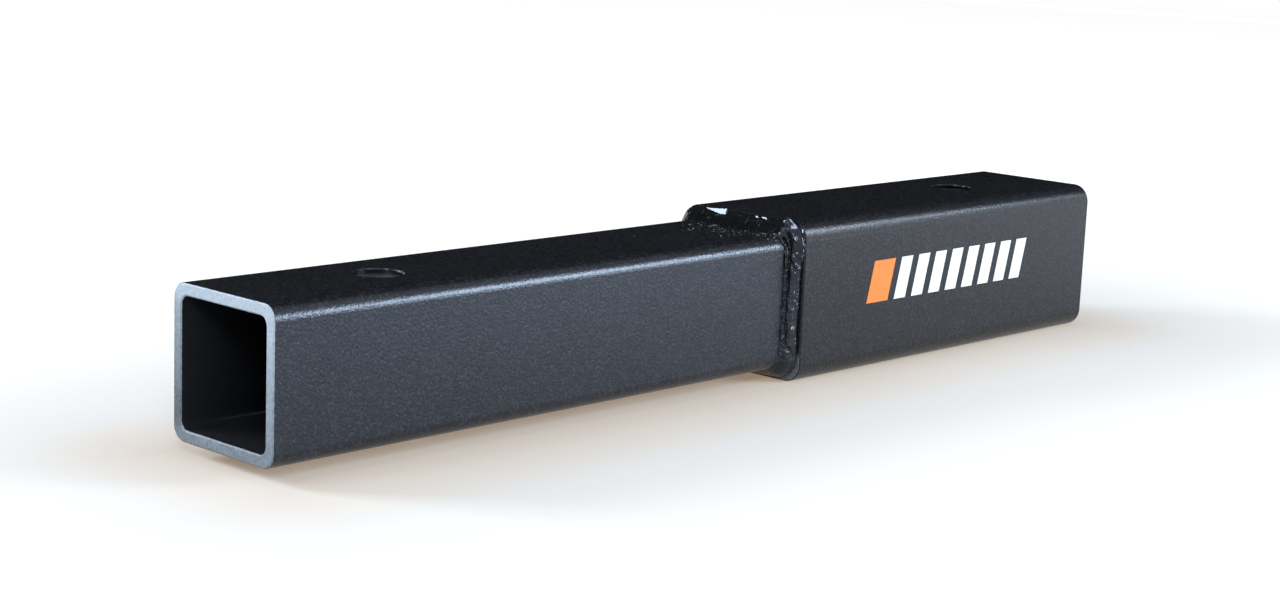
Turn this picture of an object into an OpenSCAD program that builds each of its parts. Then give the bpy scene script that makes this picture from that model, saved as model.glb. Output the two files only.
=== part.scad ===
// Hitch receiver extender: a square shank welded into a short square receiver tube.
// +X runs from the shank's open end to the receiver's mouth, +Z is up along the pin holes,
// and the origin is the centre of the shank's pin hole, on the axis of both tubes.

/* [Shank tube] */
// Outside width of the square shank
shank_w = 50; // [40:0.5:60]
// Wall thickness of the shank
shank_wall = 4; // [3:0.25:5]
// Outside corner radius of the shank
shank_corner_r = 5; // [3.5:0.25:6]
// Inside corner radius of the shank
shank_bore_corner_r = 3; // [1.5:0.25:4]
// Length of shank in the open, from its cut end to the receiver
shank_reach = 237; // [140:1:500]
// Length of shank hidden inside the receiver
shank_insert = 45; // [25:1:60]

/* [Receiver tube] */
// Gap on each side between the receiver's bore and a shank
socket_clearance = 1; // [0.5:0.1:1.5]
// Wall thickness of the receiver
receiver_wall = 4; // [3:0.25:6]
// Outside corner radius of the receiver
receiver_corner_r = 7; // [4:0.25:8]
// Inside corner radius of the receiver
receiver_bore_corner_r = 3; // [1.5:0.25:4]
// Length of the receiver tube
receiver_len = 188; // [150:1:260]

/* [Pin holes] */
// Diameter of the cross holes for the hitch pin
pin_hole_d = 16.2; // [12:0.1:18]
// Centre of the shank's pin hole from its cut end
shank_hole_inset = 60; // [40:0.5:80]
// Centre of the receiver's pin hole from its mouth
receiver_hole_inset = 57.5; // [40:0.5:75]

/* [Cut edges] */
// Bevel left by deburring the tubes' cut ends
cut_ease = 0.5; // [0.2:0.1:1]
// Bevel left by deburring the pin holes
hole_ease = 0.4; // [0.2:0.1:1]

/* [Weld] */
// Leg of the top run along the shank
weld_leg_top = 9; // [5:0.5:12]
// Leg of the front run along the shank
weld_leg_front = 6.5; // [5:0.5:12]
// Leg of the bottom run along the shank
weld_leg_bottom = 7; // [5:0.5:12]
// Leg of the back run along the shank
weld_leg_back = 7; // [5:0.5:12]
// How far the weld's crest stays below the receiver's face
weld_shy = 0.6; // [0.5:0.1:1.5]
// How far the weld's face bulges beyond a flat fillet
weld_bulge = 0.9; // [0.2:0.1:1.5]
// Extra metal at the top front corner, where the weld was started and stopped
weld_start_lump = 1.2; // [0:0.1:1.5]
// Extra metal at the other corners, where two runs overlap
weld_corner_lump = 0.5; // [0:0.1:1]

/* [Decal] */
// Height of the stripe decal
decal_h = 16; // [8:0.5:24]
// Width of the wide lead stripe
decal_lead_w = 13; // [6:0.5:18]
// Width of each of the following stripes
decal_stripe_w = 7; // [3:0.5:8]
// Gap between two stripes
decal_gap = 4; // [2:0.5:6]
// Number of following stripes
decal_stripes = 8; // [3:1:9]
// Right end of the decal from the receiver's mouth
decal_inset = 45; // [20:1:60]
// Lift of the decal's middle above the receiver's axis
decal_lift = 4; // [-8:0.5:8]
// Slant of the stripes from upright
decal_slant = 14; // [0:1:25]
// Thickness of the decal film
decal_film = 0.15; // [0.1:0.05:0.3]

/* [Hidden] */
$fn = 96;

// Places along X, from the shank's pin hole
shank_end_x = -shank_hole_inset;
joint_x = shank_end_x + shank_reach;
mouth_x = joint_x + receiver_len;
receiver_hole_x = mouth_x - receiver_hole_inset;

// The receiver is sized from the shank that slides into it
receiver_bore_w = shank_w + 2 * socket_clearance;
receiver_w = receiver_bore_w + 2 * receiver_wall;

// Overshoot that lets a cut pass clean through a face
cut_over = 1;

// The weld is swept once round the shank, and S is the way round at the shank's surface
weld_flat = shank_w / 2 - shank_corner_r;
side_s = 2 * weld_flat + shank_corner_r * PI / 2;
S = 4 * side_s;
weld_rise = (receiver_w - shank_w) / 2 - weld_shy;
weld_legs = [weld_leg_top, weld_leg_front, weld_leg_bottom, weld_leg_back];
weld_lumps = [weld_start_lump, weld_corner_lump, weld_corner_lump, weld_corner_lump];
// Stations along a flat, stations round half a corner, and points across the weld's face
weld_flat_steps = 24;
weld_arc_steps = 5;
weld_face_steps = 7;
// Air under the facets where the weld turns a round corner of the shank, so that none cuts into it
weld_arc_air = shank_corner_r * (1 / cos(45 / weld_arc_steps) - 1);
// Way along the weld over which a corner lump dies away
weld_lump_reach = 4;
// The weld's unevenness: waves round the shank, each as [count round the shank, size in mm, phase]
toe_waves = [[13, 0.45, 20], [29, 0.3, 140], [43, 0.2, 75]];
crest_waves = [[17, 0.2, 60], [37, 0.15, 10]];
face_waves = [[11, 0.2, 200], [31, 0.25, 95], [47, 0.25, 30]];

// The decal ends at a fixed inset from the mouth and grows back towards the weld
decal_lean = decal_h * tan(decal_slant);
decal_pitch = decal_stripe_w + decal_gap;
decal_x = mouth_x - decal_inset - decal_lean - decal_stripes * decal_pitch - decal_lead_w;

// Square bar along +X with round corners, its two ends bevelled in by ease, or flared out if
// ease is below zero
module eased_bar(len, w, r, ease) {
    half = w / 2;
    flat = half - r;
    bevel = abs(ease);
    side = [
        [0, half - ease],
        [bevel, half],
        [len - bevel, half],
        [len, half - ease],
        [len, ease - half],
        [len - bevel, -half],
        [bevel, -half],
        [0, ease - half]
    ];
    translate([0, 0, -flat])
        linear_extrude(2 * flat)
            polygon(side);
    rotate([90, 0, 0])
        translate([0, 0, -flat])
            linear_extrude(2 * flat)
                polygon(side);
    for (y = [-1, 1], z = [-1, 1])
        translate([0, y * flat, z * flat])
            rotate([0, 90, 0])
                rotate_extrude()
                    polygon([
                        [0, 0],
                        [r - ease, 0],
                        [r, bevel],
                        [r, len - bevel],
                        [r - ease, len],
                        [0, len]
                    ]);
}

// Square tube along +X with deburred ends
module square_tube(len, w, wall, r_out, r_in) {
    bore_w = w - 2 * wall;
    difference() {
        eased_bar(len, w, r_out, cut_ease);
        eased_bar(len, bore_w, r_in, -cut_ease);
    }
}

// Cross hole for the hitch pin through both walls of a tube, deburred on the outside
module pin_hole(w) {
    hole_r = pin_hole_d / 2;
    cylinder(h = w + 2 * cut_over, r = hole_r, center = true);
    for (side = [0, 180])
        rotate([side, 0, 0])
            translate([0, 0, w / 2 - hole_ease])
                cylinder(h = 2 * hole_ease, r1 = hole_r, r2 = hole_r + 2 * hole_ease);
}

// Sum of a set of waves at way s round the shank
function waves(set, s) =
    [for (w = set) w[1]] * [for (w = set) sin(360 * w[0] * s / S + w[2])];

// Smooth step from 0 to 1
function ease_step(u) = u * u * (3 - 2 * u);

// Metal added by the overlap of two runs near the corner that follows side k's middle
function corner_lump(s) =
    let (u = s / side_s + 4, k = floor(u), way = (u - k - 0.5) * side_s)
    weld_lumps[k % 4] * exp(-pow(way / weld_lump_reach, 2));

// Leg of the weld along the shank, turning from one side's leg to the next round the corner
function weld_leg(s) =
    let (u = s / side_s + 4, k = floor(u), a = weld_legs[k % 4], b = weld_legs[(k + 1) % 4])
    a + (b - a) * ease_step(u - k) + waves(toe_waves, s) + corner_lump(s);

// Height of the weld's crest above the shank
function weld_crest(s) = weld_rise + waves(crest_waves, s) + corner_lump(s);

// Section of the weld at s: [back along the shank, up from the shank], from toe to crest, then root
function weld_section(s) =
    let (leg = weld_leg(s), crest = weld_crest(s), bulge = weld_bulge + waves(face_waves, s),
        slope = norm([leg, crest]))
    [for (i = [0 : weld_face_steps])
        let (u = i / weld_face_steps, out = bulge * sin(180 * u))
        [leg * (1 - u) + out * crest / slope, crest * u + out * leg / slope],
    [0, 0]];

// Stations of one run: [way from the side's middle, corner centre, angle of the surface's normal]
weld_stations = [
    for (i = [0 : weld_arc_steps - 1])
        let (turn = -45 * (1 - i / weld_arc_steps))
        [-weld_flat + shank_corner_r * turn * PI / 180, -weld_flat, turn],
    for (i = [0 : weld_flat_steps])
        let (t = weld_flat * (2 * i / weld_flat_steps - 1))
        [t, t, 0],
    for (i = [1 : weld_arc_steps])
        let (turn = 45 * i / weld_arc_steps)
        [weld_flat + shank_corner_r * turn * PI / 180, weld_flat, turn]
];

// One run of weld on the side of the shank that a quarter turn about X brings to the top
module weld_run(side) {
    ring = weld_face_steps + 2;
    stations = len(weld_stations);
    points = [
        for (st = weld_stations)
            let (air = st[2] == 0 ? 0 : weld_arc_air)
            for (p = weld_section(side * side_s + st[0]))
                let (out = shank_corner_r + air + p[1])
                [joint_x - p[0], -st[1] - out * sin(st[2]), weld_flat + out * cos(st[2])]
    ];
    skin = [
        for (i = [0 : stations - 2], j = [0 : ring - 1])
            let (a = i * ring + j, b = i * ring + (j + 1) % ring)
            each [[a, a + ring, b], [b, a + ring, b + ring]]
    ];
    start_cap = [for (j = [0 : ring - 1]) j];
    end_cap = [for (j = [ring - 1 : -1 : 0]) (stations - 1) * ring + j];
    rotate([90 * side, 0, 0])
        polyhedron(points, concat(skin, [start_cap, end_cap]));
}

// One slanted stripe of the decal, its lower left corner at x
module stripe(x, w) {
    translate([x, -receiver_w / 2, decal_lift - decal_h / 2])
        rotate([90, 0, 0])
            linear_extrude(decal_film)
                polygon([[0, 0], [w, 0], [w + decal_lean, decal_h], [decal_lean, decal_h]]);
}

module shank_tube() {
    color([0.10, 0.10, 0.11])
        difference() {
            translate([shank_end_x, 0, 0])
                square_tube(shank_reach + shank_insert, shank_w, shank_wall, shank_corner_r,
                    shank_bore_corner_r);
            pin_hole(shank_w);
        }
}

module receiver_tube() {
    color([0.12, 0.12, 0.13])
        difference() {
            translate([joint_x, 0, 0])
                square_tube(receiver_len, receiver_w, receiver_wall, receiver_corner_r,
                    receiver_bore_corner_r);
            translate([receiver_hole_x, 0, 0])
                pin_hole(receiver_w);
        }
}

module weld_top() {
    color([0.05, 0.05, 0.05])
        weld_run(0);
}

module weld_front() {
    color([0.05, 0.05, 0.05])
        weld_run(1);
}

module weld_bottom() {
    color([0.05, 0.05, 0.05])
        weld_run(2);
}

module weld_back() {
    color([0.05, 0.05, 0.05])
        weld_run(3);
}

module decal_lead_stripe() {
    color([0.90, 0.40, 0.12])
        stripe(decal_x, decal_lead_w);
}

module decal_stripes_white() {
    color([0.93, 0.93, 0.93])
        for (i = [0 : decal_stripes - 1])
            stripe(decal_x + decal_lead_w + decal_gap + i * decal_pitch, decal_stripe_w);
}

shank_tube();
receiver_tube();
weld_top();
weld_front();
weld_bottom();
weld_back();
decal_lead_stripe();
decal_stripes_white();
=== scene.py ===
"""Looks of a hitch receiver extender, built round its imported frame.

Two square tubes in a fine black powder coat with bare sawn ends, the rough weld that joins them, the
spatter round it, and a plain stripe decal. Lengths in the settings of the coat and of the weld are in
millimetres, and everything that is built is in metres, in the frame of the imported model.
"""

import math
import random

import bpy
import numpy as np
from bpy.props import FloatProperty, FloatVectorProperty, IntProperty, PointerProperty
from bpy.types import Operator, Panel, PropertyGroup
from mathutils import Matrix, Vector


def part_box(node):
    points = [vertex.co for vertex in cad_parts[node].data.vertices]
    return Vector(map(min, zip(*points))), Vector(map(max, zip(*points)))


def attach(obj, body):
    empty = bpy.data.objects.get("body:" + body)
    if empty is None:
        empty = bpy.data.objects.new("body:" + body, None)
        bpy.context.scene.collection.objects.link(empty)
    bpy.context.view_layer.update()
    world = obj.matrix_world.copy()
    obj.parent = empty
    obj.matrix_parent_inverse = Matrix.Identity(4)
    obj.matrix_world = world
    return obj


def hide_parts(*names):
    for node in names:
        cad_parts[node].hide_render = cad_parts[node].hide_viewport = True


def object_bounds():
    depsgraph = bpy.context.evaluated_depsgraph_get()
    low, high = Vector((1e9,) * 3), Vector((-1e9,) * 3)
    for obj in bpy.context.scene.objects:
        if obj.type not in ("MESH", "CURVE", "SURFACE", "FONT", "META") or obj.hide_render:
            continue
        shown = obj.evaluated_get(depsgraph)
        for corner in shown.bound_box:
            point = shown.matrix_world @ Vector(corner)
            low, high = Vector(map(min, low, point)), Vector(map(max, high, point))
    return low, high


bl_info = {
    "name": "Hitch Receiver Extender",
    "version": (1, 0, 0),
    "blender": (4, 5, 0),
    "location": "View3D > Sidebar > Extender",
    "description": "Finishes a packed hitch receiver extender and sets its stage",
    "category": "Object",
}

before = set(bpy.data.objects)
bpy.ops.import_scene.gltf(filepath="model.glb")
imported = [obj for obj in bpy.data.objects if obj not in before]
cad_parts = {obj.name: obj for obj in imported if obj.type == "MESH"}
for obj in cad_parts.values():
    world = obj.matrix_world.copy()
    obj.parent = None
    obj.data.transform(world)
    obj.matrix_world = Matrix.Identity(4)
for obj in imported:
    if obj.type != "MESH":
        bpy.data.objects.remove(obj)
CAD_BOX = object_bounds()

MM = 0.001
SHANK_LOW, SHANK_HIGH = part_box("shank_tube")
RECEIVER_LOW, RECEIVER_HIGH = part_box("receiver_tube")
JOINT_X = RECEIVER_LOW.x
WALL = 4 * MM
RECEIVER_CORNER = 7 * MM
HOLE_RADIUS = 8.1 * MM
# Tint of the gloss of the shank's coat, and of the receiver's duller one
COOL_SHEEN = (0.67, 0.75, 0.96, 1.0)
DULL_SHEEN = (0.44, 0.46, 0.55, 1.0)
# Each tube's sawn open end, half the width of its bore, the place of its pin hole, and its sheen
TUBES = {
    "shank_tube": (SHANK_LOW.x, SHANK_HIGH.z - WALL, 0.0, COOL_SHEEN),
    "receiver_tube": (RECEIVER_HIGH.x, RECEIVER_HIGH.z - WALL, 307.5 * MM, DULL_SHEEN),
}
# Corner of the receiver's end that the weld leaves open, where the coat is thin, and the distances
# from it between which the coat thickens
THIN_COAT = Vector((JOINT_X, RECEIVER_LOW.y, RECEIVER_LOW.z))
THIN_REACH = (7 * MM, 12 * MM)
# How far past its edge the rim of a pin hole is worn bare, as a painted highlight too, from wholly to
# not at all
RIM_WEAR_AND_GLINT = (0.3 * MM, 0.5 * MM)
# Depths in a tube between which its coat turns from lighter at the mouth to black, painted light and
# shade in the bore, and heights over its bore between which the wall of its pin hole does, a painted
# shade under its rim over a painted lit lower part
BORE_SHADE_DEPTHS = (2 * MM, 40 * MM)
HOLE_SHADE_HEIGHTS = (1.5 * MM, 2.7 * MM)
# Height of the bump that shades the receiver's upper corners flatter, which raises their highlight
CORNER_LEAN = 1.15 * MM
# Y places between which a sawn end darkens on its far wall, as painted shade, and heights, up or down,
# between which that fades
FAR_WALL = (18 * MM, 22 * MM)
FAR_WALL_HEIGHTS = (17 * MM, 22 * MM)
# Levels between which the coat on the weld turns from dull and lighter, a painted sheen, to glossy
GLOSS_LEVELS = (3 * MM, 11 * MM)

# The weld is laid out by the way round the shank, in mm from the middle of its top towards the front
SHANK_CORNER = 5.0
SHANK_FLAT = 20.0
RUN_WAY = 2 * SHANK_FLAT + SHANK_CORNER * math.pi / 2
WELD_RUNS = ("weld_top", "weld_front", "weld_bottom", "weld_back")
# Stations along a run, and points round its section: over its face, down the receiver, under the toe
STATIONS = 321
FACE_POINTS = 96
WALL_POINTS = 6
FOOT_POINTS = 8
# Parts of the face, from the toe, at which its foot, its shoulder and its ridge lie
FOOT_PLACE, SHOULDER_PLACE, RIDGE_PLACE = 0.2, 0.48, 0.82

# The weld's section at ways round the shank, in mm: way, leg along the shank, then distance from the
# receiver and height over the shank of the foot, of the shoulder and of the ridge, depth of the groove
# behind the ridge, and lap over the receiver's corner
WELD_SECTIONS = (
    (-24.0, 8.0, 6.8, 1.0, 4.3, 3.2, 1.8, 5.5, 0.3, 0.0),
    (-15.0, 9.0, 7.3, 0.7, 4.6, 2.4, 2.6, 4.9, 0.1, 0.0),
    (0.0, 9.2, 7.4, 0.7, 4.6, 2.4, 2.6, 4.8, 0.1, 0.0),
    (12.0, 8.8, 7.1, 0.7, 4.3, 2.5, 2.3, 4.8, 0.1, 0.0),
    (17.0, 8.2, 6.8, 0.9, 4.2, 2.9, 2.0, 5.0, 0.1, 0.0),
    (20.0, 7.8, 6.6, 1.0, 4.4, 3.4, 1.8, 5.2, 0.3, 0.6),
    (22.0, 7.5, 6.4, 0.9, 4.3, 3.9, 1.7, 6.0, 0.4, 1.2),
    (23.8, 7.1, 6.1, 0.8, 4.1, 3.9, 1.7, 6.3, 0.4, 1.4),
    (25.5, 6.4, 5.6, 0.7, 3.9, 3.3, 1.6, 5.5, 0.2, 0.9),
    (27.5, 5.9, 5.1, 0.7, 3.6, 2.8, 1.5, 4.8, 0.1, 0.2),
    (30.0, 5.7, 4.8, 0.7, 3.7, 2.8, 1.4, 4.6, 0.1, 0.0),
    (34.0, 5.6, 4.7, 0.7, 4.2, 2.6, 1.4, 4.1, 0.3, 0.0),
    (38.0, 5.5, 4.5, 0.5, 4.4, 2.4, 1.3, 3.9, 0.4, 0.0),
    (44.0, 5.5, 4.5, 0.5, 4.4, 2.3, 1.3, 3.8, 0.4, 0.0),
    (48.0, 5.5, 4.6, 0.8, 4.6, 2.1, 1.3, 3.7, 0.4, 0.0),
    (58.0, 5.6, 4.8, 0.8, 4.3, 2.0, 1.4, 3.5, 0.4, 0.0),
    (66.0, 6.3, 5.5, 0.6, 4.2, 2.2, 1.3, 3.7, 0.4, 0.0),
    (71.8, 7.4, 6.2, 0.6, 4.0, 2.6, 1.0, 3.9, 0.3, 0.0),
    (78.0, 7.6, 6.3, 0.8, 3.8, 2.8, 1.0, 3.9, 0.3, 0.0),
    (96.0, 7.0, 5.9, 1.1, 3.6, 3.0, 0.9, 4.2, 0.5, 0.0),
    (119.6, 7.0, 5.9, 1.4, 3.4, 3.7, 0.9, 5.2, 0.4, 0.0),
    (143.6, 7.0, 5.9, 1.2, 3.6, 3.1, 0.9, 4.3, 0.5, 0.0),
    (160.0, 7.3, 6.1, 1.0, 4.0, 2.9, 1.2, 4.4, 0.4, 0.0),
    (167.4, 8.0, 6.8, 1.0, 4.3, 3.2, 1.8, 5.5, 0.3, 0.0),
)
# The lap's column in that table, its last
LAP = 9
# How rough the weld is at ways round the shank, from an even bead at 0 to a torn start and stop at 1,
# and how strongly it is streaked
WELD_ROUGHNESS = (
    (-24.0, 0.3, 0.1), (4.0, 0.3, 0.1), (18.0, 0.15, 0.2), (20.4, 0.25, 0.4), (22.0, 0.7, 0.8),
    (26.0, 1.0, 1.0), (35.0, 1.0, 1.0), (39.0, 0.5, 1.0), (66.0, 0.4, 1.0), (74.0, 0.2, 0.4),
    (80.0, 0.15, 0.2), (150.0, 0.15, 0.2), (167.4, 0.3, 0.1),
)
# Lumps and pits: way, place across the face from toe 0 to receiver 1, reach along the weld in
# mm, reach across it as a part of the face, and height in mm
WELD_MARKS = (
    (21.5, 0.80, 1.3, 0.16, 0.9), (24.9, 0.33, 1.9, 0.12, -2.1), (30.2, 0.30, 4.2, 0.07, -1.3),
    (27.8, 0.90, 1.2, 0.07, 0.6), (31.0, 0.90, 1.1, 0.06, 0.6), (45.0, 0.76, 0.9, 0.05, 0.5),
    (53.0, 0.60, 4.0, 0.06, 0.3), (58.6, 0.55, 3.2, 0.16, 0.7), (64.6, 0.55, 0.9, 0.07, -0.7),
    (33.0, 0.09, 2.2, 0.07, 0.5),
)
# Flat spots: the way each faces, its lift off the weld's plain face in mm, and its corners as
# way round the shank and part of the face. Seen by the camera, a spot that faces front shines in the
# key lamp, one that faces the end in the rear lamp and one that faces left in the fill lamp.
FACES_FRONT = (-0.080, -0.951, 0.299)
FACES_END = (-0.929, 0.040, 0.368)
FACES_LEFT = (-0.708, -0.637, 0.306)
FACES_LEFT_LOW = (-0.702, -0.630, 0.331)
WELD_FACETS = (
    (FACES_END, 0.2, ((-17.2, 0.82), (-6.1, 0.88), (-6.0, 0.66), (-8.8, 0.62), (-13.2, 0.70))),
    (FACES_END, 0.1, ((-14.3, 0.43), (-11.6, 0.38), (-10.8, 0.32), (-13.5, 0.37))),
    (FACES_END, 0.2, ((7.0, 0.84), (8.8, 0.84), (9.5, 0.74), (8.1, 0.73))),
    (FACES_END, 0.2, ((10.0, 0.85), (13.0, 0.83), (13.4, 0.73), (10.9, 0.76))),
    (FACES_END, 0.0, ((10.6, 0.48), (11.8, 0.44), (11.9, 0.34))),
    (FACES_LEFT, 0.3, ((21.3, 0.80), (22.0, 0.84), (23.9, 0.80), (23.9, 0.71), (23.2, 0.53))),
    (FACES_LEFT, 0.1, ((22.1, 0.62), (23.0, 0.46), (22.8, 0.41), (22.2, 0.51))),
    (FACES_LEFT, 0.2, ((22.2, 0.32), (22.8, 0.25), (22.1, 0.19), (21.6, 0.24))),
    (FACES_LEFT, 0.2, ((24.5, 0.58), (25.0, 0.68), (25.9, 0.62), (26.3, 0.55), (25.1, 0.47))),
    (FACES_LEFT, 0.1, ((26.8, 0.47), (27.1, 0.54), (27.5, 0.49))),
    (FACES_LEFT, 0.1, ((28.8, 0.53), (28.2, 0.63), (29.2, 0.65), (29.5, 0.56))),
    (FACES_LEFT, 0.1, ((29.4, 0.43), (29.4, 0.49), (30.7, 0.51), (30.7, 0.46))),
    (FACES_LEFT, 0.1, ((30.9, 0.38), (31.1, 0.45), (31.8, 0.46), (31.6, 0.40))),
    (FACES_FRONT, 0.1, ((23.7, 0.90), (24.0, 0.98), (24.8, 0.97), (25.2, 0.88))),
    (FACES_FRONT, 0.1, ((27.2, 0.86), (27.3, 0.95), (28.2, 0.93), (28.4, 0.83))),
    (FACES_FRONT, 0.1, ((30.5, 0.88), (30.8, 0.96), (32.1, 0.96), (31.9, 0.89))),
    (FACES_LEFT, 0.1, ((33.1, 0.74), (33.2, 0.80), (35.1, 0.74), (35.1, 0.69))),
    (FACES_LEFT, 0.2, ((28.2, 0.05), (28.6, 0.19), (29.4, 0.16), (29.2, 0.05))),
    (FACES_LEFT, 0.2, ((33.2, 0.05), (33.5, 0.15), (34.4, 0.15), (34.4, 0.05))),
    (FACES_LEFT, 0.3, ((34.6, 0.06), (34.9, 0.24), (36.2, 0.21), (35.9, 0.07))),
    (FACES_LEFT_LOW, 0.1, ((44.5, 0.75), (44.5, 0.81), (45.2, 0.82), (45.2, 0.76))),
    (FACES_LEFT_LOW, 0.2, ((45.0, 0.05), (45.1, 0.12), (45.8, 0.11), (45.7, 0.05))),
    (FACES_LEFT_LOW, 0.2, ((49.7, 0.05), (49.8, 0.11), (51.3, 0.11), (51.3, 0.05))),
    (FACES_LEFT_LOW, 0.2, ((59.3, 0.09), (59.5, 0.24), (61.4, 0.19), (61.3, 0.07))),
    (FACES_LEFT_LOW, 0.0, ((56.9, 0.38), (57.1, 0.50), (57.6, 0.48), (57.5, 0.38))),
    (FACES_LEFT_LOW, 0.1, ((55.8, 0.71), (55.9, 0.76), (57.2, 0.77), (57.2, 0.72))),
    (FACES_LEFT_LOW, 0.1, ((65.4, 0.45), (65.5, 0.52), (66.2, 0.50))),
)
# Width of a flat spot's soft edge, and the way over the face at which outlines and noise are laid out,
# in mm
FACET_SOFTNESS = 0.42
FACE_ACROSS = 8.0
# How deep the weld's walls are sunk into the tubes, in mm
SINK = 0.15
# Spatter: the ways round the shank at which it starts and ends and is thickest, then the distances
# from the receiver at which it starts, over which it thins out, and at which it ends, in mm
SPATTER_WAYS = (-25, 36, 4)
SPATTER_START, SPATTER_SPREAD, SPATTER_END = 8.5, 7, 60
# Radius of its smallest bead, and what the largest has more, in mm
SPATTER_SMALL, SPATTER_MORE = 0.10, 0.26

# Lamps: name, place, aim, roll in degrees, width, height, radiance and colour
LAMPS = (
    ("key_lamp", (1.08, -1.12, 0.345), (0.10, 0, 0.0), -22, 0.63, 0.34, 35.0, (0.80, 0.92, 1.0)),
    ("rear_lamp", (-0.75, 1.05, 0.62), (0.15, 0, 0.0), 0, 0.5, 0.4, 24.0, (0.88, 0.95, 1.0)),
    ("fill_lamp", (-0.85, -1.05, 0.75), (0.15, 0, 0.0), 0, 0.36, 0.36, 20.0, (0.88, 0.95, 1.0)),
    ("end_lamp", (-0.95, 0.12, 0.62), (-0.05, 0, 0.0), 0, 0.5, 0.4, 4.0, (0.92, 0.97, 1.0)),
)
# Dark flags, which keep the tops of the tubes black: name, place, width and height
FLAGS = (
    ("dark_flag_right", (2.32, 0.62, 1.0), 5.2, 2.2),
    ("dark_flag_behind", (0.9, 1.7, 2.0), 5.6, 3.6),
)
# The floor glows from its dim to its bright level over this way from the part, and is warm close to it:
# a painted warm shadow round the part
FLOOR_REACH, WARM_REACH = 0.5, 0.045
FLOOR_GLOW = (0.27, 0.90)
WARM_SHADE_GLOW = (1.0, 0.74, 0.50, 1)
# Strength of the world as light on the part, and as seen
WORLD_LIGHT, WORLD_SEEN = 0.42, 1.0


class CoatSettings(PropertyGroup):
    """Colours and grain of the powder coat and of the bare steel at the sawn ends."""

    coat_color: FloatVectorProperty(
        name="Coat", description="Colour of the powder coat", subtype="COLOR",
        default=(0.0085, 0.0092, 0.0110), min=0, max=1)
    coat_roughness: FloatProperty(
        name="Coat roughness", description="Mean roughness of the powder coat",
        default=0.29, min=0.1, max=1, subtype="FACTOR")
    grain_size: FloatProperty(
        name="Grain", description="Width of the coat's fine grains, in mm", default=1.0, min=0.1, max=3)
    grain_height: FloatProperty(
        name="Grain height", description="Height of the coat's fine grains, in mm",
        default=0.14, min=0, max=0.3)
    steel_color: FloatVectorProperty(
        name="Sawn steel", description="Colour of the bare steel at a sawn end", subtype="COLOR",
        default=(0.36, 0.42, 0.49), min=0, max=1)
    bare_width: FloatProperty(
        name="Bare edge", description="How far the bare steel runs on past a sawn face, in mm",
        default=0.45, min=0, max=1)


class WeldSettings(PropertyGroup):
    """Finish of the weld and of the spatter round it."""

    lump_height: FloatProperty(
        name="Lumps", description="Height of the weld's lumps where it is roughest, in mm",
        default=0.42, min=0, max=1)
    streak_height: FloatProperty(
        name="Streaks", description="Height of the streaks that run along the weld, in mm",
        default=0.14, min=0, max=0.5)
    ripple_height: FloatProperty(
        name="Ripples", description="Height of the even ripples across the weld, in mm",
        default=0.12, min=0, max=0.5)
    weld_color: FloatVectorProperty(
        name="Coated weld", description="Colour of the coat on the weld", subtype="COLOR",
        default=(0.0055, 0.0060, 0.0070), min=0, max=1)
    spatter_count: IntProperty(
        name="Spatter", description="Number of spatter beads round the weld", default=140, min=0, max=300)


class FilmSettings(PropertyGroup):
    """Colours of the stripe decal."""

    lead_color: FloatVectorProperty(
        name="Lead stripe", description="Colour of the wide lead stripe", subtype="COLOR",
        default=(0.85, 0.23, 0.035), min=0, max=1)
    stripe_color: FloatVectorProperty(
        name="Stripes", description="Colour of the other stripes", subtype="COLOR",
        default=(0.83, 0.87, 0.90), min=0, max=1)


class StageSettings(PropertyGroup):
    """Camera and floor."""

    camera_place: FloatVectorProperty(
        name="Camera", description="Place of the camera", subtype="TRANSLATION", unit="LENGTH",
        default=(-0.46179, -0.54549, 0.15375))
    camera_heading: FloatProperty(
        name="Heading", description="Turn of the view from +Y towards +X", subtype="ANGLE",
        default=math.radians(46.944))
    camera_pitch: FloatProperty(
        name="Pitch", description="Angle of the view below the horizon", subtype="ANGLE",
        default=math.radians(10.734))
    camera_roll: FloatProperty(
        name="Roll", description="Turn of the camera about its view, clockwise", subtype="ANGLE",
        default=math.radians(-2.345))
    lens: FloatProperty(
        name="Lens", description="Focal length, in mm, on a 36 mm sensor", default=64.06, min=10, max=300)
    floor_color: FloatVectorProperty(
        name="Floor", description="Colour of the floor", subtype="COLOR", default=(0.58, 0.58, 0.58),
        min=0, max=1)


def add_node(tree, kind, settings=None, **inputs):
    """Adds a node, with its settings by name and its inputs set, or linked where a socket is given."""
    made = tree.nodes.new(kind)
    for name, value in (settings or {}).items():
        setattr(made, name, value)
    for name, value in inputs.items():
        put(tree, made.inputs[name.replace("_", " ")], value)
    return made


def put(tree, socket, value):
    """Links a socket to another socket, or sets its value."""
    if isinstance(value, bpy.types.NodeSocket):
        tree.links.new(value, socket)
    else:
        socket.default_value = value


def calculate(tree, operation, *values):
    """Adds a Math node for one operation and returns its output."""
    made = tree.nodes.new("ShaderNodeMath")
    made.operation = operation
    for socket, value in zip(made.inputs, values):
        put(tree, socket, value)
    return made.outputs[0]


def blend_colors(tree, factor, a, b):
    """Mixes two colours by a factor."""
    made = tree.nodes.new("ShaderNodeMix")
    made.data_type = "RGBA"
    put(tree, made.inputs["Factor"], factor)
    put(tree, made.inputs[6], a)
    put(tree, made.inputs[7], b)
    return made.outputs[2]


def blend_values(tree, factor, a, b):
    """Mixes two numbers by a factor."""
    made = tree.nodes.new("ShaderNodeMix")
    put(tree, made.inputs["Factor"], factor)
    put(tree, made.inputs["A"], a)
    put(tree, made.inputs["B"], b)
    return made.outputs["Result"]


def rescale(tree, value, low, high, to_low=0.0, to_high=1.0):
    """Maps a number from one range to another, held within the second."""
    made = add_node(tree, "ShaderNodeMapRange", Value=value, From_Min=low, From_Max=high,
                    To_Min=to_low, To_Max=to_high)
    return made.outputs["Result"]


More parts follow.
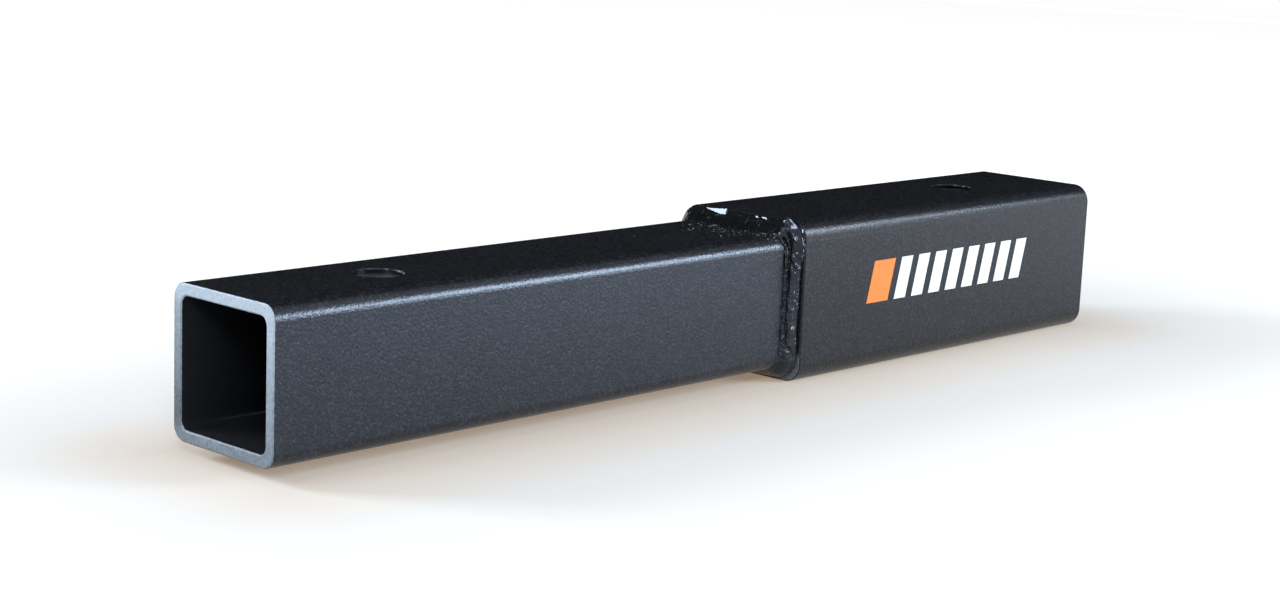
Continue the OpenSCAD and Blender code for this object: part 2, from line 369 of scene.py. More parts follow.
def speckle(tree, place, size_mm, detail=2.0, roughness=0.5):
    """Noise whose features are about size_mm wide, from 0 to 1."""
    made = add_node(tree, "ShaderNodeTexNoise", Vector=place, Scale=1 / (size_mm * MM),
                    Detail=detail, Roughness=roughness)
    return made.outputs["Fac"]


def new_material(name):
    """An empty node material: returns it with its tree, its Principled shader and Object coordinates."""
    material = bpy.data.materials.new(name)
    material.use_nodes = True
    tree = material.node_tree
    tree.nodes.clear()
    shader = tree.nodes.new("ShaderNodeBsdfPrincipled")
    output = tree.nodes.new("ShaderNodeOutputMaterial")
    tree.links.new(shader.outputs["BSDF"], output.inputs["Surface"])
    place = tree.nodes.new("ShaderNodeTexCoord").outputs["Object"]
    return material, tree, shader, place


def with_alpha(color, level=1.0):
    """A colour setting as the four numbers that a colour socket takes, brightened by level."""
    return (*[channel * level for channel in color], 1.0)


def within(tree, value, limit):
    """1 where a number is below the limit, else 0."""
    return calculate(tree, "LESS_THAN", value, limit)


def sawn_end_mask(tree, place, end, bare_width):
    """1 on the sawn face at the given X place and a little way past its edges, a bit ragged, else 0."""
    split = add_node(tree, "ShaderNodeSeparateXYZ", Vector=place)
    ragged = rescale(tree, speckle(tree, place, 1.0, 3.0), 0.35, 0.65, 0.8 * bare_width, bare_width)
    away = calculate(tree, "ABSOLUTE", calculate(tree, "SUBTRACT", split.outputs["X"], end))
    return within(tree, away, ragged)


def thin_coat_mask(tree, place):
    """Up to 1 on the open corner of the receiver's end, fading and ragged, else 0."""
    reach = add_node(tree, "ShaderNodeVectorMath", {"operation": "DISTANCE"})
    put(tree, reach.inputs[0], place)
    put(tree, reach.inputs[1], THIN_COAT)
    near = rescale(tree, reach.outputs["Value"], THIN_REACH[1], THIN_REACH[0])
    face = sawn_end_mask(tree, place, JOINT_X, 0.2 * MM)
    ragged = rescale(tree, speckle(tree, place, 1.2, 3.0), 0.35, 0.6, 0.7, 1.0)
    return calculate(tree, "MULTIPLY", calculate(tree, "MULTIPLY", near, face), ragged)


def hole_masks(tree, place, hole_x, half_bore):
    """Two masks: 1 on the pin hole's wall at the X place, up to 1 on its rim's worn parts, a painted
    highlight too.
    """
    middle = add_node(tree, "ShaderNodeVectorMath", {"operation": "SUBTRACT"})
    put(tree, middle.inputs[0], place)
    put(tree, middle.inputs[1], (hole_x, 0, 0))
    split = add_node(tree, "ShaderNodeSeparateXYZ", Vector=middle.outputs["Vector"])
    level = add_node(tree, "ShaderNodeCombineXYZ", X=split.outputs["X"], Y=split.outputs["Y"])
    reach = add_node(tree, "ShaderNodeVectorMath", {"operation": "LENGTH"}, Vector=level.outputs["Vector"])
    top = calculate(tree, "GREATER_THAN", split.outputs["Z"], half_bore + WALL - 0.5 * MM)
    edge = calculate(tree, "MULTIPLY", top, rescale(tree, reach.outputs["Value"], HOLE_RADIUS + RIM_WEAR_AND_GLINT[1],
                                                    HOLE_RADIUS + RIM_WEAR_AND_GLINT[0]))
    # The rim is worn bare most on its +X side, and a little on its +Y side, which paints its highlight there
    ahead = rescale(tree, split.outputs["X"], 0.82 * HOLE_RADIUS, 0.92 * HOLE_RADIUS, 0.0, 0.45)
    aside = rescale(tree, split.outputs["Y"], 0.70 * HOLE_RADIUS, 0.85 * HOLE_RADIUS, 0.0, 0.05)
    rubbed = rescale(tree, speckle(tree, place, 2.0, 3.0), 0.4, 0.6)
    worn = calculate(tree, "MULTIPLY", calculate(tree, "MAXIMUM", ahead, aside), rubbed)
    return (within(tree, reach.outputs["Value"], HOLE_RADIUS + 0.15 * MM),
            calculate(tree, "MULTIPLY", edge, worn))


def bore_mask(tree, place, half_bore):
    """1 inside the tube, else 0."""
    split = add_node(tree, "ShaderNodeSeparateXYZ", Vector=place)
    wide = calculate(tree, "ABSOLUTE", split.outputs["Y"])
    tall = calculate(tree, "ABSOLUTE", split.outputs["Z"])
    return within(tree, calculate(tree, "MAXIMUM", wide, tall), half_bore + 0.25 * MM)


def coat_material(name, end, half_bore, hole_x, sheen):
    """Fine powder coat, bare on the sawn end, with light and shade painted in the bore, pin hole and sawn
    end.
    """
    coat = bpy.context.scene.extender_coat
    material, tree, shader, place = new_material(name)
    bare = sawn_end_mask(tree, place, end, coat.bare_width * MM)
    if name == "receiver_tube_coat":
        bare = calculate(tree, "MAXIMUM", bare, thin_coat_mask(tree, place))
    hole, rim = hole_masks(tree, place, hole_x, half_bore)
    # The rim's worn bare steel is also a painted highlight
    bare = calculate(tree, "MAXIMUM", bare, rim)
    inside = bore_mask(tree, place, half_bore)
    split = add_node(tree, "ShaderNodeSeparateXYZ", Vector=place)

    cloudy = speckle(tree, place, 28.0, 3.0)
    mottle = speckle(tree, place, 3.5, 2.0)
    grain = speckle(tree, place, coat.grain_size, 3.0, 0.6)
    coat_tone = blend_colors(tree, rescale(tree, cloudy, 0.3, 0.7), with_alpha(coat.coat_color, 0.85),
                             with_alpha(coat.coat_color, 1.2))
    flecks = speckle(tree, place, 1.1 * coat.grain_size, 2.0)
    coat_tone = blend_colors(tree, rescale(tree, flecks, 0.50, 0.66, 0.0, 0.9), coat_tone,
                             with_alpha(coat.coat_color, 3.2))
    specks = add_node(tree, "ShaderNodeTexVoronoi", Vector=place, Scale=1 / (5.5 * MM))
    dust = within(tree, specks.outputs["Distance"], 0.035)
    coat_tone = blend_colors(tree, dust, coat_tone, with_alpha(coat.coat_color, 8.0))
    # Painted light and shade in the bore: lighter near the mouth, where light falls in, black deeper in
    depth = calculate(tree, "ABSOLUTE", calculate(tree, "SUBTRACT", split.outputs["X"], end))
    bore_shade = blend_colors(tree, rescale(tree, depth, *BORE_SHADE_DEPTHS), with_alpha(coat.coat_color, 2.2),
                         with_alpha(coat.coat_color, 0.01))
    coat_tone = blend_colors(tree, inside, coat_tone, bore_shade)
    # Painted light and shade on the pin hole's wall: black under the rim, much lighter on its lower part
    low = rescale(tree, split.outputs["Z"], half_bore + HOLE_SHADE_HEIGHTS[1], half_bore + HOLE_SHADE_HEIGHTS[0])
    coat_tone = blend_colors(tree, hole, coat_tone, blend_colors(
        tree, low, with_alpha(coat.coat_color, 0.1), with_alpha(coat.coat_color, 8.0)))
    coat_rough = calculate(tree, "ADD", coat.coat_roughness - 0.05,
                           calculate(tree, "MULTIPLY", mottle, 0.10))
    coat_rough = blend_values(tree, inside, coat_rough, 0.25)

    blotch = speckle(tree, place, 6.0, 4.0, 0.6)
    # Painted light and shade on the sawn steel: lighter at the top, darker at the bottom and on the far wall
    steel_shade_and_tone = calculate(tree, "ADD", rescale(tree, split.outputs["Z"], -half_bore, half_bore, -0.27, 0.36),
                      calculate(tree, "ADD", calculate(tree, "MULTIPLY", blotch, 0.35),
                                calculate(tree, "MULTIPLY", speckle(tree, place, 0.9, 2.0), 0.75)))
    far_wall_shade = calculate(tree, "MULTIPLY", rescale(tree, split.outputs["Y"], *FAR_WALL), rescale(
        tree, calculate(tree, "ABSOLUTE", split.outputs["Z"]), FAR_WALL_HEIGHTS[1], FAR_WALL_HEIGHTS[0]))
    steel_shade_and_tone = calculate(tree, "SUBTRACT", steel_shade_and_tone, calculate(tree, "MULTIPLY", far_wall_shade, 0.36))
    steel_tone = blend_colors(tree, rescale(tree, steel_shade_and_tone, 0.0, 1.0), with_alpha(coat.steel_color, 0.30),
                              with_alpha(coat.steel_color, 1.15))
    stretch = add_node(tree, "ShaderNodeMapping", Vector=place, Rotation=(math.radians(24), 0, 0),
                       Scale=(1, 1, 14))
    saw_lines = speckle(tree, stretch.outputs["Vector"], 3.0, 3.0, 0.7)
    steel_rough = rescale(tree, blotch, 0.3, 0.7, 0.48, 0.62)

    put(tree, shader.inputs["Base Color"], blend_colors(tree, bare, coat_tone, steel_tone))
    put(tree, shader.inputs["Metallic"], blend_values(tree, bare, 0.0, 0.55))
    put(tree, shader.inputs["Roughness"], blend_values(tree, bare, coat_rough, steel_rough))
    relief = blend_values(tree, bare, grain, calculate(tree, "MULTIPLY", saw_lines, 0.5))
    bump = add_node(tree, "ShaderNodeBump", Height=relief, Distance=coat.grain_height * MM, Strength=1.0)
    if name == "receiver_tube_coat":
        lean = add_node(tree, "ShaderNodeMapRange", {"interpolation_type": "SMOOTHSTEP"},
                        Value=split.outputs["Z"], From_Min=half_bore + WALL - RECEIVER_CORNER,
                        From_Max=half_bore + WALL)
        bump = add_node(tree, "ShaderNodeBump", Height=lean.outputs["Result"], Normal=bump.outputs["Normal"],
                        Distance=CORNER_LEAN, Strength=1.0)
    put(tree, shader.inputs["Normal"], bump.outputs["Normal"])
    shader.inputs["Specular IOR Level"].default_value = 0.5
    shader.inputs["Specular Tint"].default_value = sheen
    return material


def weld_material():
    """The same coat run smooth over the weld, glossy on its upper part and duller lower down, where a
    lighter colour is a painted sheen.
    """
    weld = bpy.context.scene.extender_weld
    material, tree, shader, place = new_material("coated_weld")
    soot = speckle(tree, place, 2.2, 4.0, 0.65)
    fine = speckle(tree, place, 0.6, 2.0)
    tone = blend_colors(tree, rescale(tree, soot, 0.35, 0.7), with_alpha(weld.weld_color, 0.8),
                        with_alpha(weld.weld_color, 1.8))
    split = add_node(tree, "ShaderNodeSeparateXYZ", Vector=place)
    level = calculate(tree, "ADD", split.outputs["Z"], rescale(tree, soot, 0.3, 0.7, -4 * MM, 4 * MM))
    glossy = rescale(tree, level, *GLOSS_LEVELS)
    # Lower down the colour is lighter, a painted sheen
    put(tree, shader.inputs["Base Color"], blend_colors(tree, calculate(tree, "MULTIPLY", glossy, 0.85),
                                                        with_alpha(weld.weld_color, 2.6), tone))
    dull_rough = rescale(tree, soot, 0.3, 0.7, 0.16, 0.32)
    glossy_rough = rescale(tree, soot, 0.3, 0.7, 0.08, 0.18)
    put(tree, shader.inputs["Roughness"], blend_values(tree, glossy, dull_rough, glossy_rough))
    bump = add_node(tree, "ShaderNodeBump", Height=fine, Strength=1.0,
                    Distance=blend_values(tree, glossy, 0.015 * MM, 0.003 * MM))
    put(tree, shader.inputs["Normal"], bump.outputs["Normal"])
    shader.inputs["Specular IOR Level"].default_value = 0.5
    shader.inputs["Specular Tint"].default_value = COOL_SHEEN
    return material


def spatter_material():
    """Dusty, half-coated beads, paler than the weld."""
    material, tree, shader, place = new_material("dusty_spatter")
    dust = speckle(tree, place, 1.5, 2.0)
    put(tree, shader.inputs["Base Color"], blend_colors(tree, rescale(tree, dust, 0.35, 0.65),
                                                        (0.02, 0.022, 0.025, 1), (0.22, 0.225, 0.23, 1)))
    put(tree, shader.inputs["Roughness"], rescale(tree, dust, 0.3, 0.7, 0.2, 0.5))
    return material


def film_material(name, color):
    """Satin ink-like film with a slight unevenness and rubbed, coat-showing pinholes."""
    coat = bpy.context.scene.extender_coat
    material, tree, shader, place = new_material(name)
    cloudy = speckle(tree, place, 4.0, 3.0)
    grain = speckle(tree, place, 0.5 * coat.grain_size, 2.0, 0.6)
    tone = blend_colors(tree, rescale(tree, cloudy, 0.3, 0.7), with_alpha(color, 0.94), with_alpha(color))
    pinholes = add_node(tree, "ShaderNodeTexVoronoi", Vector=place, Scale=1 / (2.6 * MM))
    worn = within(tree, pinholes.outputs["Distance"], 0.05)
    put(tree, shader.inputs["Base Color"],
        blend_colors(tree, worn, tone, with_alpha(coat.coat_color, 6.0)))
    put(tree, shader.inputs["Roughness"], rescale(tree, cloudy, 0.3, 0.7, 0.42, 0.52))
    bump = add_node(tree, "ShaderNodeBump", Height=grain, Strength=1.0,
                    Distance=0.3 * coat.grain_height * MM)
    put(tree, shader.inputs["Normal"], bump.outputs["Normal"])
    shader.inputs["Specular IOR Level"].default_value = 0.4
    return material


def deselect_all():
    """Clears the selection, so that the next operator acts only on what it adds."""
    if bpy.context.object and bpy.context.object.mode != "OBJECT":
        bpy.ops.object.mode_set(mode="OBJECT")
    bpy.ops.object.select_all(action="DESELECT")


def named(name):
    """The active object, just added by an operator, under its final name."""
    piece = bpy.context.object
    piece.name = name
    piece.data.name = name
    return piece


def facing_turn(ahead, roll):
    """Turn of a camera or lamp that looks along a direction, rolled clockwise about it."""
    side = ahead.cross(Vector((0, 0, 1))).normalized()
    above = side.cross(ahead)
    right = math.cos(roll) * side - math.sin(roll) * above
    up = math.cos(roll) * above + math.sin(roll) * side
    return Matrix((right, up, -ahead)).transposed().to_euler()


def lamp(name, place, aim, roll, width, height, radiance, color):
    """A soft rectangular lamp of an even radiance, which the camera doesn't see."""
    deselect_all()
    bpy.ops.object.light_add(type="AREA", location=place)
    made = named(name)
    made.data.shape = "RECTANGLE"
    made.data.size = width
    made.data.size_y = height
    made.data.energy = radiance * math.pi * width * height
    made.data.color = color
    made.visible_camera = False
    made.rotation_euler = facing_turn((Vector(aim) - Vector(place)).normalized(), math.radians(roll))


def backdrop_light(tree):
    """1 for the rays that should see the pale backdrop: from the camera, off gloss and through glass."""
    path = tree.nodes.new("ShaderNodeLightPath").outputs
    seen = calculate(tree, "MAXIMUM", path["Is Camera Ray"], path["Is Glossy Ray"])
    return calculate(tree, "MAXIMUM", seen, path["Is Transmission Ray"])


class EXTENDER_OT_stage(Operator):
    """Sets the camera, the lamps, the pale floor and the dark flags"""

    bl_idname = "extender.stage"
    bl_label = "Camera, lamps and floor"

    def execute(self, context):
        self.add_camera(context)
        self.add_floor(context)
        self.add_flags()
        self.add_lamps()
        self.light_world(context)
        context.scene.view_settings.view_transform = "Standard"
        return {"FINISHED"}

    def add_camera(self, context):
        """The camera is set by its heading, pitch and roll."""
        stage = context.scene.extender_stage
        deselect_all()
        bpy.ops.object.camera_add(location=stage.camera_place)
        camera = named("camera")
        level = math.cos(stage.camera_pitch)
        ahead = Vector((math.sin(stage.camera_heading) * level,
                        math.cos(stage.camera_heading) * level,
                        -math.sin(stage.camera_pitch)))
        camera.rotation_euler = facing_turn(ahead, stage.camera_roll)
        camera.data.sensor_width = 36
        camera.data.lens = stage.lens
        camera.data.clip_start = 0.01
        context.scene.camera = camera

    def add_floor(self, context):
        """A pale floor at the part's lowest point, whiter for the camera further from the part, with a
        painted warm shadow close to it.
        """
        stage = context.scene.extender_stage
        middle = (CAD_BOX[0] + CAD_BOX[1]) / 2
        deselect_all()
        bpy.ops.mesh.primitive_plane_add(size=40, location=(middle.x, middle.y, CAD_BOX[0].z))
        floor = named("floor")
        material, tree, shader, place = new_material("pale_floor")
        shader.inputs["Base Color"].default_value = with_alpha(stage.floor_color)
        shader.inputs["Roughness"].default_value = 0.9
        shader.inputs["Specular IOR Level"].default_value = 0.0
        split = add_node(tree, "ShaderNodeSeparateXYZ", Vector=place)
        half = (CAD_BOX[1] - CAD_BOX[0]) / 2
        past_end = calculate(tree, "SUBTRACT", calculate(tree, "ABSOLUTE", split.outputs["X"]), half.x)
        past_side = calculate(tree, "SUBTRACT", calculate(tree, "ABSOLUTE", split.outputs["Y"]), half.y)
        away = add_node(tree, "ShaderNodeCombineXYZ", X=calculate(tree, "MAXIMUM", past_end, 0.0),
                        Y=calculate(tree, "MAXIMUM", past_side, 0.0))
        way = add_node(tree, "ShaderNodeVectorMath", {"operation": "LENGTH"}, Vector=away.outputs["Vector"])
        # Painted shadow: the glow is dimmer and warm close to the part
        far = rescale(tree, way.outputs["Value"], 0.0, FLOOR_REACH)
        glow = rescale(tree, calculate(tree, "POWER", far, 0.7), 0.0, 1.0, *FLOOR_GLOW)
        put(tree, shader.inputs["Emission Strength"],
            calculate(tree, "MULTIPLY", glow, backdrop_light(tree)))
        put(tree, shader.inputs["Emission Color"], blend_colors(
            tree, rescale(tree, way.outputs["Value"], 0.0, WARM_REACH), WARM_SHADE_GLOW, (1, 1, 1, 1)))
        floor.data.materials.append(material)

    def add_flags(self):
        """Black cloths that the camera doesn't see, only the gloss."""
        material, _, shader, _ = new_material("black_cloth")
        shader.inputs["Base Color"].default_value = (0.012, 0.012, 0.013, 1)
        shader.inputs["Roughness"].default_value = 1.0
        shader.inputs["Specular IOR Level"].default_value = 0.0
        for name, spot, wide, tall in FLAGS:
            deselect_all()
            bpy.ops.mesh.primitive_plane_add(size=1, location=spot,
                                             rotation=Vector(spot).to_track_quat("Z", "Y").to_euler())
            flag = named(name)
            flag.scale = (wide, tall, 1)
            flag.data.materials.append(material)
            flag.visible_camera = False

    def add_lamps(self):
        """A cool key lamp at the front right edges the tubes. The rear, fill and end lamps are dimmer."""
        for row in LAMPS:
            lamp(*row)

    def light_world(self, context):
        """Even dim fill from all round, seen as white."""
        world = bpy.data.worlds.new("studio")
        context.scene.world = world
        world.use_nodes = True
        tree = world.node_tree
        tree.nodes.clear()
        strength = blend_values(tree, backdrop_light(tree), WORLD_LIGHT, WORLD_SEEN)
        light = add_node(tree, "ShaderNodeBackground", Color=(1, 1, 1, 1), Strength=strength)
        output = tree.nodes.new("ShaderNodeOutputWorld")
        tree.links.new(light.outputs["Background"], output.inputs["Surface"])


def fade(part):
    """Smooth step from 0 to 1."""
    return part * part * (3 - 2 * part)


def wander(maker, along, across, cell_along, cell_across):
    """Smooth noise from about -1 to 1 over the weld, with cells in mm, that closes round the shank."""
    count = max(round(4 * RUN_WAY / cell_along), 3)
    lean = maker.uniform(0, 2 * math.pi, (count, math.ceil(FACE_ACROSS / cell_across) + 2))
    along, across = along * count / (4 * RUN_WAY), across / cell_across
    row, column = np.floor(along).astype(int), np.floor(across).astype(int)
    total = np.zeros_like(along)
    for i in (0, 1):
        for j in (0, 1):
            turn = lean[(row + i) % count, column + j]
            away_along, away_across = along - row - i, across - column - j
            weight = fade(1 - np.abs(away_along)) * fade(1 - np.abs(away_across))
            total += weight * (np.cos(turn) * away_along + np.sin(turn) * away_across)
    return 1.7 * total


def table_at(table, way, column):
    """A column of a table by way round the shank, with its corners rounded off."""
    knots = np.array(table)
    spread = np.linspace(-1.5, 1.5, 7)
    return sum(np.interp(way + step, knots[:, 0], knots[:, column]) for step in spread) / len(spread)


def weld_section(way, part):
    """The weld's plain face at ways and parts of its face, in mm: distances from the receiver and
    heights over the shank, and then the two numbers of the direction in which it bulges."""
    leg, foot_back, foot, shoulder_back, shoulder, ridge_back, ridge, groove, lap = (
        table_at(WELD_SECTIONS, way, column) for column in range(1, LAP + 1))
    stages = ((0.0, leg, 0.0), (FOOT_PLACE, foot_back, foot), (SHOULDER_PLACE, shoulder_back, shoulder),
              (RIDGE_PLACE, ridge_back, ridge), (1.0, -lap, ridge - groove))
    back, height = 0.0, 0.0
    spread = np.linspace(-0.04, 0.04, 5)
    for step in spread:
        spot = np.clip(part + 4 * step * np.minimum(part, 1 - part), 0, 1)
        back, height = back + leg / len(spread), height + 0 * part
        for (start, from_back, from_height), (end, to_back, to_height) in zip(stages, stages[1:]):
            share = np.clip((spot - start) / (end - start), 0, 1) / len(spread)
            back, height = back + share * (to_back - from_back), height + share * (to_height - from_height)
    slope = np.hypot(leg - ridge_back, ridge)
    return back, height, ridge / slope + 0 * part, (leg - ridge_back) / slope + 0 * part


def section_in_place(way, part, side):
    """The plain face's points, and the directions in which it bulges, in the part's frame in mm."""
    back, height, out_back, out_up = weld_section(way, part)
    spots = wrap_round_shank(way, side, back, height) / MM
    return spots, wrap_round_shank(way, side, back + out_back, height + out_up) / MM - spots


def facet_edge(way, across, corners):
    """1 inside an outline of corners on the weld's face and 0 outside it, with a soft edge."""
    centre = np.mean(corners, axis=0)
    inside = np.full(np.broadcast(way, across).shape, np.inf)
    for start, end in zip(corners, np.roll(corners, -1, axis=0)):
        run = (end - start) / np.hypot(*(end - start))
        turn = math.copysign(1, run[0] * (centre[1] - start[1]) - run[1] * (centre[0] - start[0]))
        inside = np.minimum(inside, turn * (run[0] * (across - start[1]) - run[1] * (way - start[0])))
    return fade(np.clip(inside / FACET_SOFTNESS + 0.5, 0, 1))


def weld_face(way, side, context):
    """The weld's face at the given ways: distance from the receiver and height over the shank, in mm."""
    weld = context.scene.extender_weld
    rough, streaky = (table_at(WELD_ROUGHNESS, way, column)[:, None] for column in (1, 2))
    part = np.linspace(0, 1, FACE_POINTS)[None, :]
    way = way[:, None]
    back, height, out_back, out_up = weld_section(way, part)
    spots, out = section_in_place(way, part, side)

    # Swelling out of the plain face: torn lumps, the marks, streaks, ripples and beads along the toe
    maker = np.random.default_rng(7)
    along, across = way + 0 * part, FACE_ACROSS * part + 0 * way
    torn = 1 - 2.4 * np.abs(wander(maker, along, across, 4.4, 3.1))
    swell = weld.lump_height * rough * (wander(maker, along, across, 3.6, 2.4) + 0.8 * torn
                                        + 0.22 * wander(maker, along, across, 1.3, 1.0))
    for mark_way, mark_part, reach, reach_part, mark in WELD_MARKS:
        away = ((way - mark_way) / reach) ** 2 + ((part - mark_part) / reach_part) ** 2
        swell = swell + mark * np.exp(-away ** 1.5)
    streaks = (0.6 * wander(maker, along, across, 8, 0.55) + 0.25 * wander(maker, along, across, 3.5, 0.3)
               + wander(maker, along, across, 1.8, 1.2))
    swell = swell + weld.streak_height * streaky * streaks
    beat = (along + 1.3 * (2 * part - 1) ** 2 + 0.5 * wander(maker, along, across, 5, 4)) / 1.7
    swell = swell + weld.ripple_height * (1 - rough) * np.abs(np.sin(np.pi * beat))
    toe_beads = wander(maker, along, across, 0.75, 0.7)
    swell = swell + (0.14 + 0.18 * rough) * toe_beads * np.exp(-((part - 0.08) / 0.07) ** 2)

    # The toe wanders, and then the flat spots are cut over all of it
    ragged = (0.45 * wander(maker, along, 0 * across, 2.2, 1)
              + 0.2 * wander(maker, along, 0 * across, 0.8, 1)) * (0.4 + rough) * (1 - part) ** 3
    back = back + ragged
    spots[..., 0] -= ragged
    for facing, lift, outline in WELD_FACETS:
        corners = np.array(outline) * (1, FACE_ACROSS)
        centre = corners.mean(axis=0)
        anchor, anchor_out = section_in_place(centre[0], centre[1] / FACE_ACROSS, side)
        plane = ((anchor + lift * anchor_out - spots) @ facing) / (out @ facing)
        share = facet_edge(way, across, corners)
        swell = swell + share * (np.clip(plane, -2.5, 2.5) - 0.8 * swell)

    # The face keeps to its edges, on the shank and on the receiver
    held = fade(np.clip(part / 0.035, 0, 1)) * fade(np.clip((1 - part) / 0.03, 0, 1))
    back = back + held * swell * out_back
    height = height + held * swell * out_up
    return np.maximum(back, -table_at(WELD_SECTIONS, way, LAP)), height


def wrap_round_shank(way, side, back, height):
    """Points in metres at distances back from the receiver and heights over the shank, on one side."""
    local = way - side * RUN_WAY
    turned = np.clip(np.abs(local) - SHANK_FLAT, 0, None) / SHANK_CORNER * np.sign(local)
    centre = np.clip(local, -SHANK_FLAT, SHANK_FLAT)
    out = SHANK_CORNER + height
    ahead = -centre - out * np.sin(turned)
    up = SHANK_FLAT + out * np.cos(turned)
    quarter = side * math.pi / 2
    points = np.empty(np.shape(height) + (3,))
    points[..., 0] = JOINT_X / MM - back
    points[..., 1] = ahead * math.cos(quarter) - up * math.sin(quarter)
    points[..., 2] = ahead * math.sin(quarter) + up * math.cos(quarter)
    return points * MM


def weld_run(name, side, context):
    """One run of weld on one side: a fine strip rolled to the weld's section, closed, and capped."""
    way = np.linspace(side - 0.5, side + 0.5, STATIONS) * RUN_WAY
    back, height = weld_face(way, side, context)
    wall = np.linspace(0, 1, WALL_POINTS + 1)[None, 1:]
    foot = np.linspace(0, 1, FOOT_POINTS + 1)[None, 1:]
    wall_back = np.minimum(back[:, -1:], 0) * (1 - wall) - SINK
    wall_height = height[:, -1:] * (1 - wall) - SINK * wall
    foot_back = -SINK + (back[:, :1] + SINK) * foot
    foot_height = np.full((STATIONS, FOOT_POINTS), -SINK)
    foot_back[:, -1:] = back[:, :1]
    foot_height[:, -1:] = height[:, :1]
    rolled = wrap_round_shank(way[:, None], side, np.hstack((back, wall_back, foot_back)),
                              np.hstack((height, wall_height, foot_height)))

    around = FACE_POINTS + WALL_POINTS + FOOT_POINTS
    deselect_all()
    bpy.ops.mesh.primitive_grid_add(x_subdivisions=around - 1, y_subdivisions=STATIONS - 1, size=0.05)
    piece = named(name)
    piece.data.vertices.foreach_set("co", rolled.reshape(-1))
    piece.data.update()
    bpy.ops.object.mode_set(mode="EDIT")
    bpy.ops.mesh.select_all(action="SELECT")
    bpy.ops.mesh.remove_doubles(threshold=1e-6)
    bpy.ops.mesh.select_all(action="DESELECT")
    bpy.ops.mesh.select_non_manifold()
    bpy.ops.mesh.fill_holes(sides=0)
    bpy.ops.mesh.select_all(action="SELECT")
    bpy.ops.mesh.normals_make_consistent(inside=False)
    bpy.ops.object.mode_set(mode="OBJECT")
    bpy.ops.object.shade_smooth_by_angle(angle=math.radians(55))
    return piece


class EXTENDER_OT_weld(Operator):
    """Lays the rough weld round the shank, in four runs, in place of the plain ones"""

    bl_idname = "extender.weld"
    bl_label = "Weld"

    def execute(self, context):
        finish = weld_material()
        for side, node in enumerate(WELD_RUNS):
            run = weld_run(node + "_bead", side, context)
            run.data.materials.append(finish)
            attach(run, "root")
            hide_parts(node)
        return {"FINISHED"}


def bead_on_shank(way, back, size, lie, master):
    """One flattened spatter bead on the shank, copied from the master with its place in its mesh."""
    side = round(way / RUN_WAY)
    spots = wrap_round_shank(np.array([way, way + 0.01]), side, back, np.zeros(2))
    spot = Vector(spots[0])
    along = Vector(spots[1] - spots[0]).normalized()
    out = along.cross(Vector((-1, 0, 0)))
    turn = Matrix((along, Vector((-1, 0, 0)), out)).transposed().to_4x4()
    bead = bpy.data.objects.new("bead", master.data.copy())
    bpy.context.collection.objects.link(bead)
    bead.data.transform(Matrix.Translation(spot) @ turn @ Matrix.Diagonal((size, size * lie, 0.6 * size, 1)))
    return bead


class EXTENDER_OT_spatter(Operator):
    """Scatters small beads of weld spatter on the shank beside the weld"""

    bl_idname = "extender.spatter"
    bl_label = "Weld spatter"

    def execute(self, context):
        maker = random.Random(11)
        deselect_all()
        bpy.ops.mesh.primitive_ico_sphere_add(subdivisions=2, radius=1)
        master = named("weld_spatter")
        beads = []
        for _ in range(context.scene.extender_weld.spatter_count):
            way = maker.triangular(*SPATTER_WAYS)
            back = min(SPATTER_START + maker.expovariate(1 / SPATTER_SPREAD), SPATTER_END)
            size = MM * (SPATTER_SMALL + SPATTER_MORE * maker.random() ** 2.5)
            beads.append(bead_on_shank(way, back, size, maker.uniform(0.8, 1.2), master))
        first = beads.pop()
        master.data = first.data
        bpy.data.objects.remove(first)
        deselect_all()
        for bead in beads:
            bead.select_set(True)
        master.select_set(True)
        context.view_layer.objects.active = master
        bpy.ops.object.join()
        bpy.ops.object.shade_smooth()
        master.data.materials.append(spatter_material())
        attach(master, "root")
        return {"FINISHED"}


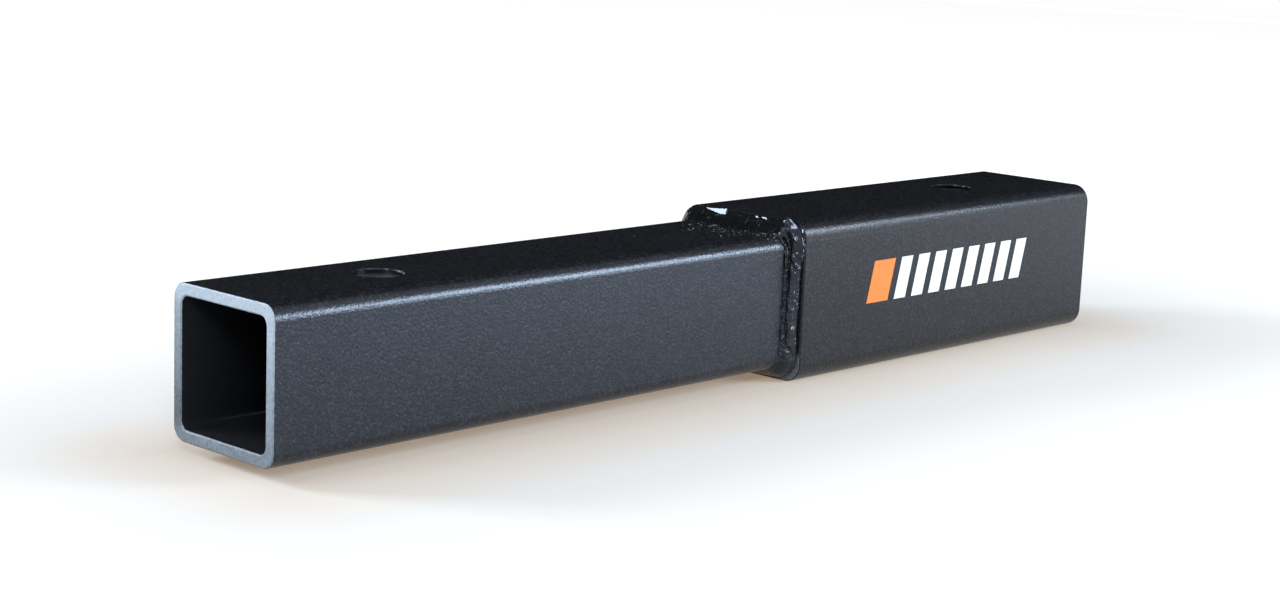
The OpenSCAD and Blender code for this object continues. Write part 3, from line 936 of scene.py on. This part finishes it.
class EXTENDER_OT_tubes(Operator):
    """Coats the shank and the receiver, and leaves their sawn ends bare"""

    bl_idname = "extender.tubes"
    bl_label = "Tube finish"

    def execute(self, context):
        for name, (end, half_bore, hole_x, sheen) in TUBES.items():
            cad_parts[name].material_slots[0].material = coat_material(
                name + "_coat", end, half_bore, hole_x, sheen)
        return {"FINISHED"}


class EXTENDER_OT_decal(Operator):
    """Gives the stripe decal its colours"""

    bl_idname = "extender.decal"
    bl_label = "Decal finish"

    def execute(self, context):
        film = context.scene.extender_film
        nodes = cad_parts
        nodes["decal_lead_stripe"].material_slots[0].material = film_material(
            "orange_film", film.lead_color)
        nodes["decal_stripes_white"].material_slots[0].material = film_material(
            "white_film", film.stripe_color)
        return {"FINISHED"}


class EXTENDER_PT_panel(Panel):
    """Lists the operators that finish the part and set its stage, each above its settings"""

    bl_idname = "EXTENDER_PT_panel"
    bl_label = "Hitch receiver extender"
    bl_space_type = "VIEW_3D"
    bl_region_type = "UI"
    bl_category = "Extender"

    def draw(self, context):
        for pieces, name in (((EXTENDER_OT_stage,), "extender_stage"),
                             ((EXTENDER_OT_tubes,), "extender_coat"),
                             ((EXTENDER_OT_weld, EXTENDER_OT_spatter), "extender_weld"),
                             ((EXTENDER_OT_decal,), "extender_film")):
            box = self.layout.box()
            for piece in pieces:
                box.operator(piece.bl_idname)
            settings = getattr(context.scene, name)
            for setting in SETTINGS[name].__annotations__:
                box.prop(settings, setting)


CLASSES = (CoatSettings, WeldSettings, FilmSettings, StageSettings, EXTENDER_OT_stage, EXTENDER_OT_tubes,
           EXTENDER_OT_weld, EXTENDER_OT_spatter, EXTENDER_OT_decal, EXTENDER_PT_panel)
SETTINGS = {"extender_coat": CoatSettings, "extender_weld": WeldSettings, "extender_film": FilmSettings,
            "extender_stage": StageSettings}


def register():
    for cls in CLASSES:
        bpy.utils.register_class(cls)
    for name, group in SETTINGS.items():
        setattr(bpy.types.Scene, name, PointerProperty(type=group))


def unregister():
    for name in SETTINGS:
        delattr(bpy.types.Scene, name)
    for cls in reversed(CLASSES):
        bpy.utils.unregister_class(cls)


def main():
    register()
    bpy.ops.extender.stage()
    bpy.ops.extender.tubes()
    bpy.ops.extender.weld()
    bpy.ops.extender.spatter()
    bpy.ops.extender.decal()


if __name__ == "__main__":
    main()
